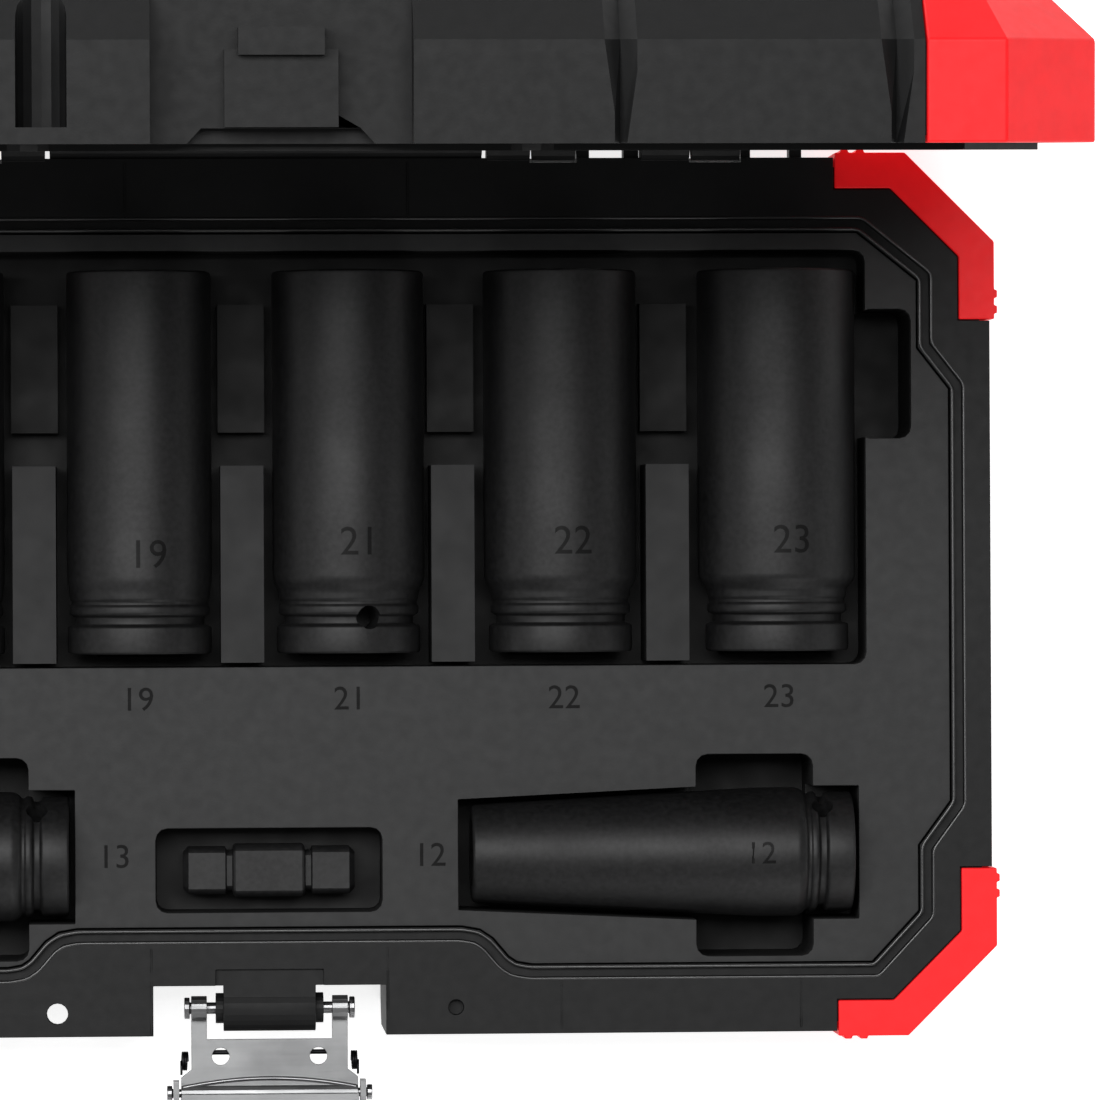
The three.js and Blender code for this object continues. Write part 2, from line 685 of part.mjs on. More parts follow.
// The tray's flat top, with the mouths of the wells cut through it.
function trayPlate() {
  const plate = prism(offset(sealOutline(), -TRAY_MARGIN), [TRAY.top - TRAY.plate, TRAY.top]);
  const mouths = Object.values(WELLS).map((hollow) => hollow(0));
  return mouths.reduce((left, mouth) => left.subtract(mouth), plate).subtract(tabColumns());
}

// One well's skin, hung under the plate. The finger well stands off the main well's outside.
function trayWell(name) {
  const underPlate = TRAY.top - TRAY.plate - CLEAR;
  const allowed = prism(offset(sealOutline(), -TRAY_MARGIN), [0, underPlate]).add(tabColumns());
  const hollows = Object.values(WELLS).map((hollow) => hollow(0));
  if (name === "tray_well_finger") hollows.push(mainWell(TRAY.skin + CLEAR));
  const skin = WELLS[name](TRAY.skin);
  return hollows.reduce((left, hollow) => left.subtract(hollow), skin).intersect(allowed);
}

// ---- Assembly -----------------------------------------------------------------------------

const finish = {
  shell: { color: 0x202122, roughness: 0.5, metalness: 0 },
  tray: { color: 0x3a3b3c, roughness: 0.6, metalness: 0 },
  foam: { color: 0x18191a, roughness: 0.95, metalness: 0 },
  guard: { color: 0xf52a2e, roughness: 0.45, metalness: 0 },
  steel: { color: 0xb4b6b8, roughness: 0.35, metalness: 1 },
  spring: { color: 0x4a4b4d, roughness: 0.4, metalness: 1 },
  phosphate: { color: 0x232425, roughness: 0.55, metalness: 0.6 },
};

function piece(name, made, look) {
  const geometry = geometryOf(made);
  geometry.computeVertexNormals();
  const mesh = new THREE.Mesh(geometry, new THREE.MeshStandardMaterial(finish[look]));
  mesh.name = name;
  return mesh;
}

function hingePin(knuckle, s) {
  const [from, to] = [knuckle.base[0] + CLEAR, knuckle.lid[1] - CLEAR];
  return rod("x", span(s * from, s * to), HINGE.pin, [HINGE.y, RIM]);
}

const root = new THREE.Group();

const base = new THREE.Group();
base.add(piece("base_shell", baseShell(), "shell"));
base.add(piece("tray_plate", trayPlate(), "tray"));
for (const name of Object.keys(WELLS)) base.add(piece(name, trayWell(name), "tray"));
for (const corner of corners)
  base.add(piece("guard_base_" + corner[0], baseGuard(corner), "guard"));
for (const [side, s] of [["right", 1], ["left", -1]]) {
  base.add(piece("hinge_pin_inner_" + side, hingePin(KNUCKLES[0], s), "steel"));
  base.add(piece("hinge_pin_outer_" + side, hingePin(KNUCKLES[1], s), "steel"));
}
base.add(piece("latch_pin", headedPin(PIN.halfX, PIN.radius, PIN.head, [PIN.y, PIN.z]), "steel"));
root.add(base);

// The lid is drawn shut about its hinge axis and then swung open.
const lid = new THREE.Group();
lid.position.set(0, HINGE.y, RIM);
lid.rotation.x = -LID_OPEN;
const aboutHinge = (mesh) => {
  mesh.position.set(0, -HINGE.y, -RIM);
  return mesh;
};
lid.add(aboutHinge(piece("lid_shell", lidShell(), "shell")));
lid.add(aboutHinge(piece("lid_foam", lidFoam(), "foam")));
for (const corner of corners)
  lid.add(aboutHinge(piece("guard_lid_" + corner[0], lidGuard(corner), "guard")));
root.add(lid);

const latch = new THREE.Group();
latch.add(piece("latch_plate", latchPlate(), "steel"));
latch.add(piece("latch_spring_right", latchSpring(1), "spring"));
latch.add(piece("latch_spring_left", latchSpring(-1), "spring"));
latch.add(piece("latch_claw", latchClaw(), "steel"));
latch.add(piece("latch_claw_pin", headedPin(CLAW.ear + 1.3, 0.9, 1.6, [PIVOT.y, PIVOT.z]), "steel"));
root.add(latch);

// The sockets lie with their drive ends to the front, or to the right in the front row.
for (const socket of DEEP_SOCKETS) {
  const mesh = piece("socket_" + socket.size, deepSocket(socket), "phosphate");
  mesh.rotation.x = -Math.PI / 2;
  mesh.position.set(socket.x, SOCKET.hexEnd - SOCKET.length, AXIS_Z);
  root.add(mesh);
}
for (const socket of SLIM_SOCKETS) {
  const mesh = piece("socket_" + socket.size + "_slim", slimSocket(socket), "phosphate");
  mesh.rotation.y = -Math.PI / 2;
  mesh.position.set(socket.driveX, SLIM.y, AXIS_Z);
  root.add(mesh);
}
root.add(piece("coupler", coupler(), "phosphate"));

export default root;
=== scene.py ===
# A set of deep impact sockets in a hinged case: its looks, light and camera, around the packed
# CAD model. Shapes are given in millimetres, which MM turns into metres. Lights are placed in
# metres.
import json
import math
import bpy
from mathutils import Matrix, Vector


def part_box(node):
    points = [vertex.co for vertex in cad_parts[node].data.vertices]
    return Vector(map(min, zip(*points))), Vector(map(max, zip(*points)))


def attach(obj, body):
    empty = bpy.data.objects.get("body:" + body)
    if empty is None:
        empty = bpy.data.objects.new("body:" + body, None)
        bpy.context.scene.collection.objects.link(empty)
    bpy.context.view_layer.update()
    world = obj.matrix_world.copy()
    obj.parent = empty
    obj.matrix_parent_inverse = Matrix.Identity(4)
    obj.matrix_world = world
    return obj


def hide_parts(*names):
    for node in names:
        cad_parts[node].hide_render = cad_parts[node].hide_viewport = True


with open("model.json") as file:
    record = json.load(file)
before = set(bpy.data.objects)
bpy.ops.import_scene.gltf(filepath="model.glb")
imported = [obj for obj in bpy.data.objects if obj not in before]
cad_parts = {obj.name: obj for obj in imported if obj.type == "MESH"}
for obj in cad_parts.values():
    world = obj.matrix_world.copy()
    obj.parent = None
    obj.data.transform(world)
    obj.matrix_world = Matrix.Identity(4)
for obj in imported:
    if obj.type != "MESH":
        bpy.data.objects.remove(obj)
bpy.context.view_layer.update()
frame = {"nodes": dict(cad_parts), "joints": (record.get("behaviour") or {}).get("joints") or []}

import types

import bmesh
import bpy
from mathutils import Matrix, Vector

MM = 0.001
WELD_DISTANCE = 0.00002  # metres
nodes = frame["nodes"]
joints = {joint["name"]: joint for joint in frame["joints"]}

# ---- Places taken from the frame ------------------------------------------------------------

RIM_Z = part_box("guard_base_front_right")[1][2]  # the base's rim plane
TRAY_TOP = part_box("tray_plate")[1][2]
WELL_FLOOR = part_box("tray_well_main")[0][2]
LID_SWING = math.radians(joints["lid_hinge"]["range_deg"][0])
HINGE_POINT = Vector(joints["lid_hinge"]["pos_m"])
# From the lid drawn shut to the lid as it stands open.
LID_OPENED = (
    Matrix.Translation(HINGE_POINT)
    @ Matrix.Rotation(LID_SWING, 4, "X")
    @ Matrix.Translation(-HINGE_POINT)
)

# ---- Camera, floor and light ----------------------------------------------------------------

EYE = Vector((-24.5, 6.0, 1520.0)) * MM + Vector((0, 0, RIM_Z))
AIM = Vector((57.6, 9.3, 0.0)) * MM + Vector((0, 0, RIM_Z))
HALF_VIEW = math.radians(4.22)
TILT = 0.0047  # the case lies turned this far anticlockwise in the picture


def aim(thing, eye, target, up):
    """Turns a camera or a light at eye to face target."""
    back = (eye - target).normalized()
    right = up.cross(back).normalized()
    turned = Matrix((right, back.cross(right), back)).transposed().to_4x4()
    turned.translation = eye
    thing.matrix_world = turned


def add_camera():
    data = bpy.data.cameras.new("camera")
    data.sensor_width = 36
    data.lens = data.sensor_width / 2 / math.tan(HALF_VIEW)
    data.clip_start, data.clip_end = 0.05, 20
    camera = bpy.data.objects.new("camera", data)
    bpy.context.scene.collection.objects.link(camera)
    aim(camera, EYE, AIM, Vector((math.sin(TILT), math.cos(TILT), 0)))
    bpy.context.scene.camera = camera


def add_area_light(name, place, target, size, watts):
    data = bpy.data.lights.new(name, "AREA")
    data.shape = "RECTANGLE"
    data.size, data.size_y = size
    data.energy = watts
    light = bpy.data.objects.new(name, data)
    bpy.context.scene.collection.objects.link(light)
    aim(light, Vector(place), Vector(target), Vector((0, 1, 0.01)))


def add_world(strength):
    world = bpy.data.worlds.new("studio")
    world.use_nodes = True
    background = world.node_tree.nodes["Background"]
    background.inputs["Color"].default_value = (1, 1, 1, 1)
    background.inputs["Strength"].default_value = strength
    bpy.context.scene.world = world


# ---- Materials ------------------------------------------------------------------------------


class Surface:
    """A Principled material with helpers for procedural detail, in object coordinates."""

    def __init__(self, name, colour, roughness, metallic=0.0, specular=0.5):
        self.material = bpy.data.materials.new(name)
        self.material.use_nodes = True
        self.tree = self.material.node_tree
        self.shader = self.tree.nodes["Principled BSDF"]
        self.shader.inputs["Base Color"].default_value = (*colour, 1)
        self.shader.inputs["Roughness"].default_value = roughness
        self.shader.inputs["Metallic"].default_value = metallic
        self.shader.inputs["Specular IOR Level"].default_value = specular
        self.material.diffuse_color = (*colour, 1)
        self.place = self.add("ShaderNodeTexCoord").outputs["Object"]

    def add(self, kind, **inputs):
        node = self.tree.nodes.new(kind)
        for key, value in inputs.items():
            node.inputs[key].default_value = value
        return node

    def link(self, source, target):
        self.tree.links.new(source, target)

    def noise(self, scale, detail=3.0, stretch=(1, 1, 1)):
        mapping = self.add("ShaderNodeMapping", Scale=stretch)
        self.link(self.place, mapping.inputs["Vector"])
        noise = self.add("ShaderNodeTexNoise", Scale=scale, Detail=detail)
        self.link(mapping.outputs["Vector"], noise.inputs["Vector"])
        return noise.outputs["Fac"]

    def span(self, source, low, high, **ends):
        """Maps low..high of a source to 0..1, or to the ends given."""
        spread = self.add("ShaderNodeMapRange", **ends)
        spread.inputs["From Min"].default_value = low
        spread.inputs["From Max"].default_value = high
        self.link(source, spread.inputs["Value"])
        return spread.outputs["Result"]

    def colour_from(self, source, first, last):
        """The first and last colour each come with the source's value where they are reached."""
        ramp = self.add("ShaderNodeValToRGB")
        for element, (value, colour) in zip(ramp.color_ramp.elements, (first, last)):
            element.position, element.color = value, (*colour, 1)
        self.link(source, ramp.inputs["Fac"])
        self.link(ramp.outputs["Color"], self.shader.inputs["Base Color"])

    def roughness_from(self, source, low, high):
        spread = self.span(source, 0.3, 0.7, **{"To Min": low, "To Max": high})
        self.link(spread, self.shader.inputs["Roughness"])

    def bump_from(self, *layers):
        """Each layer is (source, strength, depth in metres), the coarsest first."""
        normal = None
        for source, strength, depth in layers:
            bump = self.add("ShaderNodeBump", Strength=strength, Distance=depth)
            self.link(source, bump.inputs["Height"])
            if normal:
                self.link(normal, bump.inputs["Normal"])
            normal = bump.outputs["Normal"]
        self.link(normal, self.shader.inputs["Normal"])


def moulded_plastic(name, dark, light, roughness, grain=0.22, specular=0.5):
    """Injection-moulded plastic: a fine spark-eroded grain, with faint mottling."""
    surface = Surface(name, light, roughness, specular=specular)
    surface.colour_from(surface.noise(240, 6), (0.3, dark), (0.7, light))
    surface.roughness_from(surface.noise(420, 6), roughness - 0.03, roughness + 0.05)
    surface.bump_from(
        (surface.noise(150, 3), 0.02, 0.0001),
        (surface.noise(2600, 2), grain, 0.00005),
    )
    return surface.material


WELL_LIGHT_Y, WELL_DARK_Y = 27, 34  # between the front and the back row of saddles


def well_plastic(name, deep, top, roughness):
    """The tray's plastic inside its wells, with shade painted in towards the floor and the back."""
    surface = Surface(name, top, roughness, specular=0.3)
    axes = surface.add("ShaderNodeSeparateXYZ")
    surface.link(surface.place, axes.inputs["Vector"])
    height = surface.span(axes.outputs["Z"], WELL_FLOOR, TRAY_TOP)
    front = surface.span(axes.outputs["Y"], WELL_DARK_Y * MM, WELL_LIGHT_Y * MM, **{"To Min": 0.5})
    both = surface.add("ShaderNodeMath")
    both.operation = "MULTIPLY"
    surface.link(height, both.inputs[0])
    surface.link(front, both.inputs[1])
    surface.colour_from(both.outputs["Value"], (0.35, deep), (0.98, top))
    surface.roughness_from(surface.noise(160, 6), roughness - 0.05, roughness + 0.07)
    surface.bump_from((surface.noise(2600, 2), 0.2, 0.00005))
    return surface.material


def phosphate_steel(name, dark, light, specular):
    """Black phosphated forged steel: matt, with a fine crystal speckle and soft oily patches."""
    surface = Surface(name, light, 0.5, metallic=0.25, specular=specular)
    surface.colour_from(surface.noise(900, 6), (0.3, dark), (0.72, light))
    surface.roughness_from(surface.noise(60, 4), 0.45, 0.56)
    surface.bump_from(
        (surface.noise(260, 4), 0.1, 0.00008),
        (surface.noise(3800, 2), 0.2, 0.00003),
    )
    return surface.material


def plated_steel(name, dark, light, roughness, stretch):
    """Zinc-plated pressed steel, with drawn lines along one direction."""
    surface = Surface(name, light, roughness, metallic=1.0)
    surface.colour_from(surface.noise(90, 5), (0.3, dark), (0.7, light))
    lines = surface.noise(900, 4, stretch)
    surface.roughness_from(lines, roughness - 0.07, roughness + 0.12)
    surface.bump_from((surface.noise(70, 3), 0.15, 0.0001), (lines, 0.12, 0.00003))
    return surface.material


def cell_foam(name):
    """Closed-cell foam: matt and dark, with fine open cells on its cut skin."""
    surface = Surface(name, (0.02, 0.02, 0.021), 0.92, specular=0.25)
    cells = surface.add("ShaderNodeTexVoronoi", Scale=900.0)
    surface.link(surface.place, cells.inputs["Vector"])
    distance = cells.outputs["Distance"]
    surface.colour_from(distance, (0.1, (0.009, 0.009, 0.01)), (0.6, (0.026, 0.026, 0.027)))
    surface.bump_from((surface.noise(90, 3), 0.2, 0.0003), (distance, 0.5, 0.0003))
    return surface.material


def floor_paper():
    """White paper with some light of its own, so that the floor stays white."""
    surface = Surface("floor_paper", (0.92, 0.92, 0.92), 0.9, specular=0.1)
    surface.shader.inputs["Emission Color"].default_value = (1, 1, 1, 1)
    surface.shader.inputs["Emission Strength"].default_value = 0.75
    surface.colour_from(surface.noise(3, 2), (0.3, (0.9, 0.9, 0.9)), (0.7, (0.94, 0.94, 0.94)))
    return surface.material


SHELL = moulded_plastic(
    "shell_plastic", (0.0036, 0.0037, 0.0039), (0.0052, 0.0053, 0.0055), 0.55, specular=0.27
)
TRAY = moulded_plastic(
    "tray_plastic", (0.0145, 0.0146, 0.0149), (0.0175, 0.0177, 0.018), 0.58, specular=0.36
)
WELL = well_plastic("well_plastic", (0.0012, 0.0012, 0.0012), (0.0135, 0.0136, 0.0139), 0.6)
GUARD = moulded_plastic(
    "guard_plastic", (0.78, 0.006, 0.009), (0.86, 0.009, 0.013), 0.5, 0.15, specular=0.3
)
glow = GUARD.node_tree.nodes["Principled BSDF"].inputs
glow["Emission Color"].default_value = (0.8, 0.006, 0.01, 1)
glow["Emission Strength"].default_value = 0.2  # lifts the red; the real plastic gives no light
SEAL_RIB = moulded_plastic(
    "seal_rib", (0.012, 0.012, 0.0122), (0.016, 0.016, 0.0163), 0.32, 0.1, specular=0.75
)
MARK = moulded_plastic(
    "tray_mark", (0.004, 0.004, 0.004), (0.006, 0.006, 0.006), 0.7, specular=0.16
)
STEEL = plated_steel("plated_steel", (0.22, 0.222, 0.225), (0.3, 0.303, 0.306), 0.42, (0.06, 1, 1))
PIN_STEEL = plated_steel("pin_steel", (0.2, 0.2, 0.205), (0.32, 0.32, 0.325), 0.32, (1, 0.1, 0.1))
SPRING = plated_steel("spring_steel", (0.01, 0.01, 0.011), (0.025, 0.025, 0.027), 0.4, (1, 1, 1))
PHOSPHATE = phosphate_steel("phosphate_steel", (0.004, 0.004, 0.0042), (0.012, 0.012, 0.0124), 0.44)
ETCHED = phosphate_steel("etched_digits", (0.003, 0.003, 0.003), (0.005, 0.005, 0.005), 0.16)
FOAM = cell_foam("cell_foam")

# ---- Making pieces --------------------------------------------------------------------------


def new_piece(name, mesh, material, body, replaces=()):
    piece = bpy.data.objects.new(name, mesh)
    bpy.context.scene.collection.objects.link(piece)
    mesh.materials.clear()
    mesh.materials.append(material)
    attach(piece, body)
    if replaces:
        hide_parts(*replaces)
    return piece


def finish_mesh(shape, name, sharp=32):
    """Turns a bmesh into a mesh with smooth shading that breaks at edges over the given angle."""
    bmesh.ops.recalc_face_normals(shape, faces=shape.faces)
    limit = math.radians(sharp)
    for face in shape.faces:
        face.smooth = True
    for edge in shape.edges:
        edge.smooth = len(edge.link_faces) == 2 and edge.calc_face_angle(0) < limit
    mesh = bpy.data.meshes.new(name)
    shape.to_mesh(mesh)
    shape.free()
    return mesh


def dress(node, material, bevel=0.5, segments=3, sharp=32, dissolve=True):
    """Keeps a CAD node, with a moulded radius on its edges and a finished material."""
    piece = nodes[node]
    piece.data.materials.clear()
    piece.data.materials.append(material)
    weld = piece.modifiers.new("weld", "WELD")
    weld.merge_threshold = WELD_DISTANCE
    if dissolve:
        flat = piece.modifiers.new("flat_faces", "DECIMATE")
        flat.decimate_type = "DISSOLVE"
        flat.angle_limit = math.radians(1)
    edge = piece.modifiers.new("edge_radius", "BEVEL")
    edge.width = bevel * MM
    edge.segments = segments
    edge.limit_method = "ANGLE"
    edge.angle_limit = math.radians(sharp)
    edge.use_clamp_overlap = True
    edge.harden_normals = True
    edge.miter_outer = "MITER_ARC"


def loop_of_rings(rings, name, sharp=32):
    """A closed skin through rings of equally many points, the last ring joined to the first."""
    shape = bmesh.new()
    made = [[shape.verts.new(point) for point in ring] for ring in rings]
    for ring, after in zip(made, made[1:] + made[:1]):
        for i in range(len(ring)):
            j = (i + 1) % len(ring)
            shape.faces.new((ring[i], ring[j], after[j], after[i]))
    return finish_mesh(shape, name, sharp)


def evaluated_mesh(thing):
    """A new mesh of an object, as its modifiers or its curve settings make it."""
    bpy.context.view_layer.update()
    return bpy.data.meshes.new_from_object(
        thing.evaluated_get(bpy.context.evaluated_depsgraph_get())
    )


def text_mesh(body, size, depth):
    """Upright digits about the origin, in the XY plane, from -depth to +depth."""
    curve = bpy.data.curves.new("digits", "FONT")
    curve.body = body
    curve.size = size
    curve.align_x, curve.align_y = "CENTER", "CENTER"
    curve.extrude = depth
    curve.resolution_u = 4
    holder = bpy.data.objects.new("digits_holder", curve)
    bpy.context.scene.collection.objects.link(holder)
    mesh = evaluated_mesh(holder)
    bpy.data.objects.remove(holder)
    return mesh


# ---- Sockets --------------------------------------------------------------------------------

SIDES = 96  # points around a turned shape
DRIVE = 12.7  # square drive, across its flats
DRIVE_DEPTH = 18
HEX_DEPTH = 44
COLLAR = 5.7  # length of the collar at a socket's drive end
COLLAR_RADIUS = 14.65  # or the socket's own radius, where that is less
DEEP = types.SimpleNamespace(hole_radius=2.4, hole_past_collar=1.6, digits=8.2, digits_turn=0.12)
SLIM = types.SimpleNamespace(
    radius=13.2, hole_radius=2.2, hole_past_collar=0.8, hole_turn=0.9, digits=6.4, digits_along=19.5
)
HOLE_REACH, HOLE_CUT = 12, 14  # the middle and the length of the cut for a cross hole
HOLE_TURNS = {17: -2.0, 18: 1.9, 19: 2.2, 21: 0.27, 22: 2.9, 23: 2.4}  # radians from the top
DIGIT_DEPTH, DIGIT_SLICE, DIGIT_SUNK = 0.08, 0.4, 0.03
DIGIT_SLICES = 20  # on each side of the digits' middle


def circle(radius):
    return lambda turn: radius


def polygon(across, sides, corner=0.93):
    """The reach of a regular polygon's edge at a given turn, with its corners eased off."""
    apothem = across / 2
    step = math.tau / sides

    def reach(turn):
        off = (turn + step / 2) % step - step / 2
        return min(apothem / math.cos(off), apothem / math.cos(step / 2) * corner)

    return reach


def ring_points(reach, along, place):
    turns = [math.tau * i / SIDES for i in range(SIDES)]
    return [place(reach(t) * math.cos(t), reach(t) * math.sin(t), along) for t in turns]


def arc_profile(points, steps=3):
    """Rounds every inner corner of a profile that has a radius as its third number."""
    done = []
    for i, (r, z, *radius) in enumerate(points):
        if not radius or i in (0, len(points) - 1):
            done.append((r, z))
            continue
        here = Vector((r, z))
        before = (Vector(points[i - 1][:2]) - here).normalized() * radius[0]
        after = (Vector(points[i + 1][:2]) - here).normalized() * radius[0]
        for k in range(steps + 1):
            t = k / steps
            bend = here + before * (1 - t) ** 2 + after * t**2
            done.append((bend.x, bend.y))
    return done


def socket_rings(outer, size, length, place):
    """Outer skin from the drive end to the hex end, then back down the bore."""
    square = polygon(DRIVE, 4)
    square_mouth = polygon(DRIVE + 1.4, 4)
    hexagon = polygon(size, 6, 0.97)
    hexagon_mouth = polygon(size + 1.6, 6, 0.97)
    bore = circle(min(size, DRIVE) / 2 - 0.3)
    rings = [ring_points(circle(r), z, place) for r, z in arc_profile(outer)]
    for reach, along in (
        (hexagon_mouth, length),
        (hexagon, length - 1.0),
        (hexagon, length - HEX_DEPTH),
        (bore, length - HEX_DEPTH - 1.5),
        (bore, DRIVE_DEPTH + 0.6),
        (square, DRIVE_DEPTH),
        (square, 0.8),
        (square_mouth, 0.0),
    ):
        rings.append(ring_points(reach, along, place))
    return rings


def deep_profile(radius, length):
    """Each corner is (radius, distance from the drive end), with a rounding where one is wanted."""
    collar = min(COLLAR_RADIUS, radius)
    shoulder = collar - 0.35
    return [
        (collar - 1.1, 0.0),
        (collar, 0.0, 0.8),
        (collar, COLLAR - 0.2, 0.4),
        (collar - 1.5, COLLAR + 0.3, 0.25),
        (collar - 1.5, COLLAR + 1.8, 0.25),
        (shoulder, COLLAR + 2.3, 0.5),
        (shoulder, COLLAR + 3.9, 0.4),
        (shoulder - 0.45, COLLAR + 4.3, 0.2),
        (shoulder - 0.45, COLLAR + 4.9, 0.2),
        (shoulder - 0.1, COLLAR + 5.4, 0.3),
        (shoulder, COLLAR + 7.0, 0.6),
        (radius, COLLAR + 9.2, 1.0),
        (radius, length - 0.01, 0.9),
        (radius - 1.2, length),
    ]


def slim_profile(length):
    """Corners as in deep_profile; the body tapers towards the hex end."""
    return [
        (11.1, 0.0),
        (12.2, 0.0, 0.8),
        (12.2, COLLAR - 0.3, 0.4),
        (11.2, COLLAR + 0.2, 0.25),
        (11.2, COLLAR + 1.4, 0.25),
        (12.3, COLLAR + 1.9, 0.4),
        (12.3, COLLAR + 3.0, 0.3),
        (11.9, COLLAR + 3.3, 0.2),
        (11.9, COLLAR + 3.9, 0.2),
        (12.6, COLLAR + 4.4, 0.4),
        (SLIM.radius, COLLAR + 5.8, 0.5),
        (SLIM.radius, COLLAR + 14, 3.0),
        (10.0, length - 0.01, 0.9),
        (8.9, length),
    ]


def apply_boolean(piece, tool_mesh, operation):
    """Cuts a piece with a mesh, or keeps what both hold, and leaves no modifier behind."""
    tool = bpy.data.objects.new("tool", tool_mesh)
    bpy.context.scene.collection.objects.link(tool)
    cut = piece.modifiers.new("cut", "BOOLEAN")
    cut.operation, cut.solver, cut.object = operation, "EXACT", tool
    done = evaluated_mesh(piece)
    piece.modifiers.clear()
    piece.data = done
    bpy.data.objects.remove(tool)


def drill(piece, centre, axis, radius, length):
    """Cuts a round hole through one wall of a piece, with a boolean that is then applied."""
    cutter = bmesh.new()
    reach = radius * MM
    bmesh.ops.create_cone(
        cutter, segments=40, cap_ends=True, radius1=reach, radius2=reach, depth=length * MM
    )
    turned = axis.to_track_quat("Z", "Y").to_matrix().to_4x4()
    turned.translation = centre
    cutter.transform(turned)
    mesh = bpy.data.meshes.new("cutter")
    cutter.to_mesh(mesh)
    cutter.free()
    apply_boolean(piece, mesh, "DIFFERENCE")


def wrapped_digits(name, size, text, radius, to_surface, body):
    """Thin etched digits that follow a round body; to_surface turns (turn, along) into a place."""
    mesh = text_mesh(text, size, DIGIT_DEPTH)
    sliced = bmesh.new()
    sliced.from_mesh(mesh)
    for step in range(-DIGIT_SLICES, DIGIT_SLICES + 1):
        everything = sliced.verts[:] + sliced.edges[:] + sliced.faces[:]
        bmesh.ops.bisect_plane(
            sliced, geom=everything, plane_co=(step * DIGIT_SLICE, 0, 0), plane_no=(1, 0, 0)
        )
    sliced.to_mesh(mesh)
    sliced.free()
    for vertex in mesh.vertices:
        turn, along, out = vertex.co.x / radius, vertex.co.y, vertex.co.z
        vertex.co = to_surface(turn, along, radius - DIGIT_SUNK + out)
    new_piece(name, mesh, ETCHED, body)


def add_deep_socket(size):
    node = f"socket_{size}"
    low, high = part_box(node)
    middle = (Vector(low) + Vector(high)) / 2
    radius = (high[0] - low[0]) / 2 / MM
    length = (high[1] - low[1]) / MM

    def place(across, up, along):
        return Vector((middle.x + across * MM, low[1] + along * MM, middle.z + up * MM))

    rings = socket_rings(deep_profile(radius, length), size, length, place)
    mesh = loop_of_rings(rings, node + "_body", sharp=28)
    piece = new_piece(node + "_body", mesh, PHOSPHATE, node, [node])
    out = Vector((math.sin(HOLE_TURNS[size]), 0, math.cos(HOLE_TURNS[size])))
    centre = place(0, 0, COLLAR + DEEP.hole_past_collar) + out * HOLE_REACH * MM
    drill(piece, centre, out, DEEP.hole_radius, HOLE_CUT)

    def to_surface(turn, along, reach):
        return place(reach * math.sin(turn), reach * math.cos(turn), along)

    rise = 22.5 if size > 19 else 20  # the small sockets have their digits nearer the collar

    def digits_at(turn, along, reach):
        return to_surface(turn + DEEP.digits_turn, along + rise, reach)

    wrapped_digits(node + "_digits", DEEP.digits, str(size), radius, digits_at, node)


def add_slim_socket(size):
    node = f"socket_{size}_slim"
    low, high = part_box(node)
    middle = (Vector(low) + Vector(high)) / 2
    length = (high[0] - low[0]) / MM

    def place(across, up, along):
        return Vector((high[0] - along * MM, middle.y + across * MM, middle.z + up * MM))

    rings = socket_rings(slim_profile(length), size, length, place)
    mesh = loop_of_rings(rings, node + "_body", sharp=28)
    piece = new_piece(node + "_body", mesh, PHOSPHATE, node, [node])
    out = Vector((0, math.sin(SLIM.hole_turn), math.cos(SLIM.hole_turn)))
    centre = place(0, 0, COLLAR + SLIM.hole_past_collar) + out * HOLE_REACH * MM
    drill(piece, centre, out, SLIM.hole_radius, HOLE_CUT)

    def digits_at(turn, along, reach):
        angle = -along / SLIM.radius
        return Vector((
            high[0] - SLIM.digits_along * MM + turn * SLIM.radius * MM,
            middle.y - reach * math.sin(angle) * MM,
            middle.z + reach * math.cos(angle) * MM,
        ))

    wrapped_digits(node + "_digits", SLIM.digits, str(size), SLIM.radius, digits_at, node)


def add_coupler():
    """A double-ended drive coupler: two squares, a thicker middle, a groove at each shoulder."""
    low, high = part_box("coupler")
    middle = (Vector(low) + Vector(high)) / 2
    half = (high[0] - low[0]) / 2 / MM
    wide = (high[1] - low[1]) / MM
    end, neck, shoulder = wide - 1.0, wide - 2.6, 7.2

    def place(across, up, along):
        return Vector((middle.x + along * MM, middle.y + across * MM, middle.z + up * MM))

    stations = [
        (end - 2.2, -half), (end, -half + 1.1), (end, -shoulder - 1.7), (neck, -shoulder - 1.4),
        (neck, -shoulder - 0.3), (wide - 0.6, -shoulder), (wide, -shoulder + 0.4),
        (wide, shoulder - 0.4), (wide - 0.6, shoulder), (neck, shoulder + 0.3),
        (neck, shoulder + 1.4), (end, shoulder + 1.7), (end, half - 1.1), (end - 2.2, half),
    ]
    shape = bmesh.new()
    made = [
        [shape.verts.new(p) for p in ring_points(polygon(across, 4, 0.9), along, place)]
        for across, along in stations
    ]
    for ring, after in zip(made, made[1:]):
        for i in range(SIDES):
            j = (i + 1) % SIDES
            shape.faces.new((ring[i], ring[j], after[j], after[i]))
    shape.faces.new(made[0])
    shape.faces.new(made[-1])
    mesh = finish_mesh(shape, "coupler_body", sharp=25)
    new_piece("coupler_body", mesh, PHOSPHATE, "coupler", ["coupler"])


# ---- Case -----------------------------------------------------------------------------------

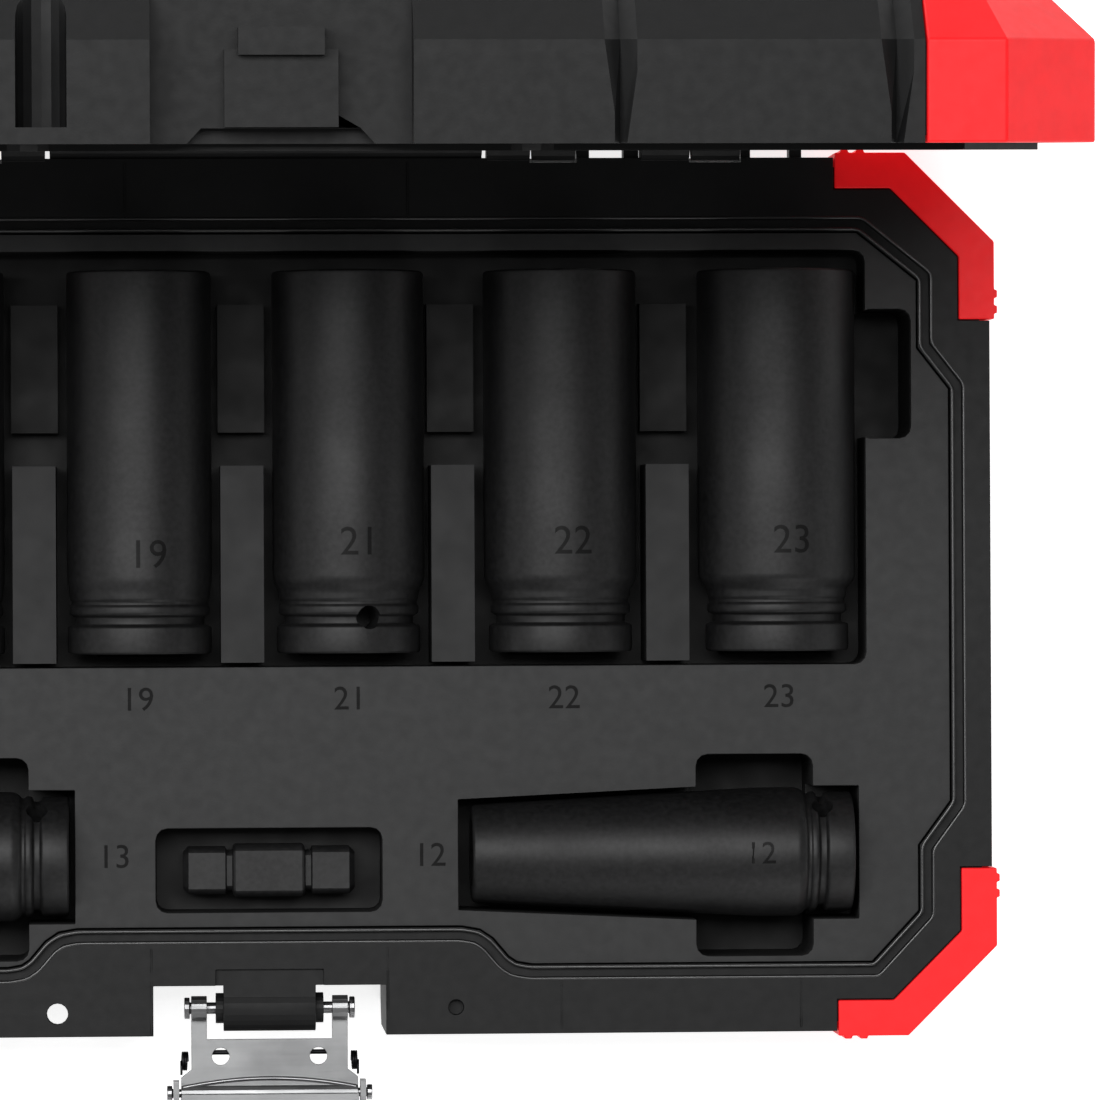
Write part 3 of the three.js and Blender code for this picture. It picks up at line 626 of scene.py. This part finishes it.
TRAY_LABELS = [
    ("17", -107.5, -21), ("18", -67.8, -21), ("19", -26.6, -21), ("21", 16.6, -21),
    ("22", 60.4, -21), ("23", 104.5, -21), ("12", 32.8, -53), ("13", -31.5, -53),
]
LABEL = types.SimpleNamespace(size=6.8, depth=0.15, sunk=0.11)
RIM_LINES = [  # distance from the middle, then from where to where along y
    (24.1, -89.0, -71.6), (28.8, 76.9, 88.5), (59.6, -88.5, -78.4), (108.6, -88.5, -78.4),
]
RIM_LINE = types.SimpleNamespace(width=0.45, height=0.3, sunk=0.05, radius=0.1)
RIBS = (("seal_rib_inner", 0.75), ("seal_rib_outer", 3.1))  # how far outside the tray's edge
RIB = types.SimpleNamespace(half=0.28, rise=0.16, sunk=0.02, corner=1.2, sides=12)
FOAM_CELLS = (17, 9)
FOAM_BUMP = 4.5
FOAM_STEPS = 8  # grid steps across one cell
SPRING_WIRE = 0.26
SPRING_REACH = 2.0
SPRING_TURNS = 3
SPRING_STEPS = 20  # points in one turn
SPRING_BEND = 0.7  # where the leg's first point lies, as a share of the coil's radius
BEAD = types.SimpleNamespace(wire=0.45, sagitta=1.8, back=1.2, up=0.75, steps=16)
HOLE_WIRE = types.SimpleNamespace(
    ends=(7.6, 10, 12.4), radius=0.5, from_hinge=-9.25, below=1.3
)


def add_tray_labels():
    for text, x, y in TRAY_LABELS:
        mesh = text_mesh(text, LABEL.size, LABEL.depth)
        for vertex in mesh.vertices:
            vertex.co = Vector((x, y, 0.0)) * MM + Vector((0, 0, TRAY_TOP)) + vertex.co * MM
            vertex.co.z -= LABEL.sunk * MM
        new_piece("tray_label_" + text, mesh, MARK, "base")


def add_rim_lines():
    """Fine raised mould lines across the base's rim."""
    for x, y0, y1 in RIM_LINES:
        end = "back" if y0 > 0 else "front"
        size = Vector((RIM_LINE.width, y1 - y0, RIM_LINE.height)) * MM
        for side_name, side in (("right", 1), ("left", -1)):
            shape = bmesh.new()
            bmesh.ops.create_cube(shape, size=1)
            bmesh.ops.scale(shape, vec=size, verts=shape.verts)
            middle = Vector((side * x, (y0 + y1) / 2, 0)) * MM
            middle += Vector((0, 0, RIM_Z - RIM_LINE.sunk * MM))
            bmesh.ops.translate(shape, vec=middle, verts=shape.verts)
            bmesh.ops.bevel(
                shape, geom=shape.edges[:], offset=RIM_LINE.radius * MM, segments=2, affect="EDGES"
            )
            name = f"rim_line_{side_name}_{round(x * 10)}_{end}"
            new_piece(name, finish_mesh(shape, name), SHELL, "base")


def outer_loop(node, height):
    """The outermost closed loop around a node's flat top, as points in order."""
    shape = bmesh.new()
    shape.from_mesh(nodes[node].data)
    bmesh.ops.remove_doubles(shape, verts=shape.verts, dist=WELD_DISTANCE)
    flat = {
        face for face in shape.faces
        if all(abs(vertex.co.z - height) < WELD_DISTANCE / 2 for vertex in face.verts)
    }
    border = [e for e in shape.edges if sum(face in flat for face in e.link_faces) == 1]
    after = {}
    for edge in border:
        for vertex, other in (edge.verts, reversed(edge.verts)):
            after.setdefault(vertex.index, []).append(other.index)
    places = {v.index: v.co.copy() for v in shape.verts}
    shape.free()
    start = max(after, key=lambda i: places[i].x)
    loop, here, before = [], start, None
    while here != start or not loop:
        loop.append(places[here].to_2d())
        here, before = next(i for i in after[here] if i != before), here
    return loop


def grown(loop, distance):
    """A closed loop with each side moved out by a distance."""
    area = sum(a.cross(b) for a, b in zip(loop, loop[1:] + loop[:1]))
    if area < 0:
        loop = loop[::-1]
    done = []
    for i, point in enumerate(loop):
        into = (point - loop[i - 1]).normalized()
        out = (loop[(i + 1) % len(loop)] - point).normalized()
        stretch = distance / (1 + into.dot(out))
        done.append(point + Vector((into.y + out.y, -into.x - out.x)) * stretch)
    return done


def rounded(loop, radius, steps=5):
    """A closed loop with each corner rounded as far as its shorter side allows."""
    done = []
    for i, point in enumerate(loop):
        before, after = loop[i - 1] - point, loop[(i + 1) % len(loop)] - point
        reach = min(radius, before.length * 0.45, after.length * 0.45)
        before, after = before.normalized() * reach, after.normalized() * reach
        for k in range(steps + 1):
            t = k / steps
            done.append(point + before * (1 - t) ** 2 + after * t**2)
    return done


def add_seal_ribs():
    """Two fine raised ribs that run around the rim, one on each side of the seal's groove."""
    edge = outer_loop("tray_plate", TRAY_TOP)
    for name, distance in RIBS:
        loop = rounded(grown(edge, distance * MM), RIB.corner * MM)
        rings = []
        for i, point in enumerate(loop):
            along = (loop[(i + 1) % len(loop)] - loop[i - 1]).normalized()
            across = Vector((along.y, -along.x))
            rings.append([
                (*(point + across * RIB.half * MM * math.cos(turn)),
                 RIM_Z + (RIB.rise * math.sin(turn) - RIB.sunk) * MM)
                for turn in (math.tau * k / RIB.sides for k in range(RIB.sides))
            ])
        new_piece(name, loop_of_rings(rings, name, sharp=60), SEAL_RIB, "base")


def add_lid_foam():
    """A convoluted foam pad: the pad's outline, with rounded bumps towards the sockets."""
    pad = bmesh.new()
    pad.from_mesh(nodes["lid_foam"].data)
    pad.transform(LID_OPENED.inverted())
    corners_of = [[v.co[i] for v in pad.verts] for i in range(3)]
    (x0, x1), (y0, y1), (z0, z1) = [(min(values), max(values)) for values in corners_of]
    bumpy = bmesh.new()
    columns, rows = (count * FOAM_STEPS for count in FOAM_CELLS)
    bmesh.ops.create_grid(bumpy, x_segments=columns, y_segments=rows, size=0.5)
    for vertex in bumpy.verts:
        u, v = vertex.co.x + 0.5, vertex.co.y + 0.5
        wave = math.cos(math.tau * FOAM_CELLS[0] * u) * math.cos(math.tau * FOAM_CELLS[1] * v)
        vertex.co = Vector((
            x0 - MM + u * (x1 - x0 + 2 * MM),
            y0 - MM + v * (y1 - y0 + 2 * MM),
            z0 + (1 - wave) * FOAM_BUMP / 2 * MM,
        ))
    rim = [edge for edge in bumpy.edges if edge.is_boundary]
    raised = bmesh.ops.extrude_edge_only(bumpy, edges=rim)["geom"]
    top = [item for item in raised if isinstance(item, bmesh.types.BMVert)]
    for vertex in top:
        vertex.co.z = z1 + MM
    bmesh.ops.contextual_create(bumpy, geom=[e for e in bumpy.edges if e.is_boundary])
    mesh = finish_mesh(bumpy, "lid_foam_pad", sharp=50)
    piece = new_piece("lid_foam_pad", mesh, FOAM, "lid", ["lid_foam"])
    holder = bpy.data.meshes.new("pad_outline")
    pad.to_mesh(holder)
    pad.free()
    apply_boolean(piece, holder, "INTERSECT")
    piece.data.transform(LID_OPENED)


def wire_mesh(points, radius):
    """A round wire through points, as a mesh; its radius is in millimetres."""
    wire = bpy.data.curves.new("wire", "CURVE")
    wire.dimensions = "3D"
    wire.bevel_depth = radius * MM
    wire.bevel_resolution = 4
    wire.use_fill_caps = True
    spline = wire.splines.new("POLY")
    spline.points.add(len(points) - 1)
    for target, point in zip(spline.points, points):
        target.co = (*point, 1)
    holder = bpy.data.objects.new("wire_holder", wire)
    bpy.context.scene.collection.objects.link(holder)
    mesh = evaluated_mesh(holder)
    bpy.data.objects.remove(holder)
    for face in mesh.polygons:
        face.use_smooth = True
    return mesh


def add_latch_springs():
    """Torsion springs of dark wire beside the claw, each with a leg that bears on it."""
    for side_name, side in (("right", 1), ("left", -1)):
        node = "latch_spring_" + side_name
        low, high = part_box(node)
        inner = low[0] if side > 0 else high[0]
        width = high[0] - low[0]
        middle_z = low[2] + SPRING_REACH * MM
        middle_y = high[1] - SPRING_REACH * MM
        coil = (SPRING_REACH - SPRING_WIRE) * MM
        points = []
        steps = SPRING_TURNS * SPRING_STEPS
        for i in range(steps + 1):
            turn = math.tau * i / SPRING_STEPS
            across = SPRING_WIRE * MM + (width - 2 * SPRING_WIRE * MM) * i / steps
            points.append((
                inner + side * across,
                middle_y + coil * math.sin(turn),
                middle_z + coil * math.cos(turn),
            ))
        points.append((points[-1][0], middle_y - SPRING_BEND * coil, middle_z + coil))
        points.append((points[-1][0], low[1] + SPRING_WIRE * MM, middle_z + coil))
        mesh = wire_mesh(points, SPRING_WIRE)
        new_piece(node + "_coil", mesh, SPRING, "latch_plate", [node])


def add_latch_details():
    """A curved bead pressed along the plate's far edge, and a dark wire across under each hole."""
    low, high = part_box("latch_plate")
    half = (high[0] - low[0]) / 2 - BEAD.wire * MM
    plate_y = joints["latch_claw_hinge"]["pos_m"][1]
    pivot_z = joints["latch_claw_hinge"]["pos_m"][2]
    points = []
    for i in range(2 * BEAD.steps + 1):
        across = (i / BEAD.steps - 1) * half
        rise = BEAD.sagitta * MM * (1 - (across / half) ** 2)
        points.append((across, plate_y + BEAD.back * MM + rise, pivot_z + BEAD.up * MM))
    new_piece("latch_plate_bead", wire_mesh(points, BEAD.wire), PIN_STEEL, "latch_plate")
    wire_y = joints["latch_plate_hinge"]["pos_m"][1] + HOLE_WIRE.from_hinge * MM
    wire_z = pivot_z - HOLE_WIRE.below * MM
    for side_name, side in (("right", 1), ("left", -1)):
        ends = [(side * x * MM, wire_y, wire_z) for x in HOLE_WIRE.ends]
        wire = wire_mesh(ends, HOLE_WIRE.radius)
        new_piece("latch_wire_" + side_name, wire, SPRING, "latch_plate")


for node_name in ("base_shell", "lid_shell"):
    dress(node_name, SHELL, bevel=0.6)
dress("tray_plate", TRAY, bevel=0.7)
for node_name in nodes:
    if node_name.startswith("tray_well"):
        dress(node_name, WELL, bevel=0.4, segments=2, sharp=40, dissolve=False)
for corner in ("back_right", "back_left", "front_right", "front_left"):
    dress("guard_base_" + corner, GUARD, bevel=0.5)
    dress("guard_lid_" + corner, GUARD, bevel=0.5)
for node_name in ("latch_plate", "latch_claw"):
    dress(node_name, STEEL, bevel=0.25)
for node_name in nodes:
    if "pin" in node_name:
        dress(node_name, PIN_STEEL, bevel=0.2)
add_latch_springs()
add_latch_details()
add_seal_ribs()
add_lid_foam()

for socket_size in HOLE_TURNS:
    add_deep_socket(socket_size)
for socket_size in (12, 13):
    add_slim_socket(socket_size)
add_coupler()
add_tray_labels()
add_rim_lines()

# ---- Stage ----------------------------------------------------------------------------------

FLOOR_REACH = 3  # metres from the middle

floor_shape = bmesh.new()
bmesh.ops.create_grid(floor_shape, x_segments=2, y_segments=2, size=FLOOR_REACH)
floor = bpy.data.objects.new("floor", finish_mesh(floor_shape, "floor"))
floor.data.materials.append(floor_paper())
bpy.context.scene.collection.objects.link(floor)

add_world(strength=0.22)
add_area_light("key", (-0.45, 0.42, 1.78), (0, 0, 0), size=(2.2, 0.6), watts=36)
add_area_light("front_fill", (0.5, -1.6, 0.8), (0, 0, 0.05), size=(1.0, 0.6), watts=6)
add_area_light("side_left", (-1.5, -0.2, 0.4), (0, 0, 0.05), size=(0.3, 1.2), watts=2)
add_area_light("side_right", (1.5, -0.2, 0.4), (0, 0, 0.05), size=(0.3, 1.2), watts=2)
add_camera()
bpy.context.scene.view_settings.view_transform = "Standard"
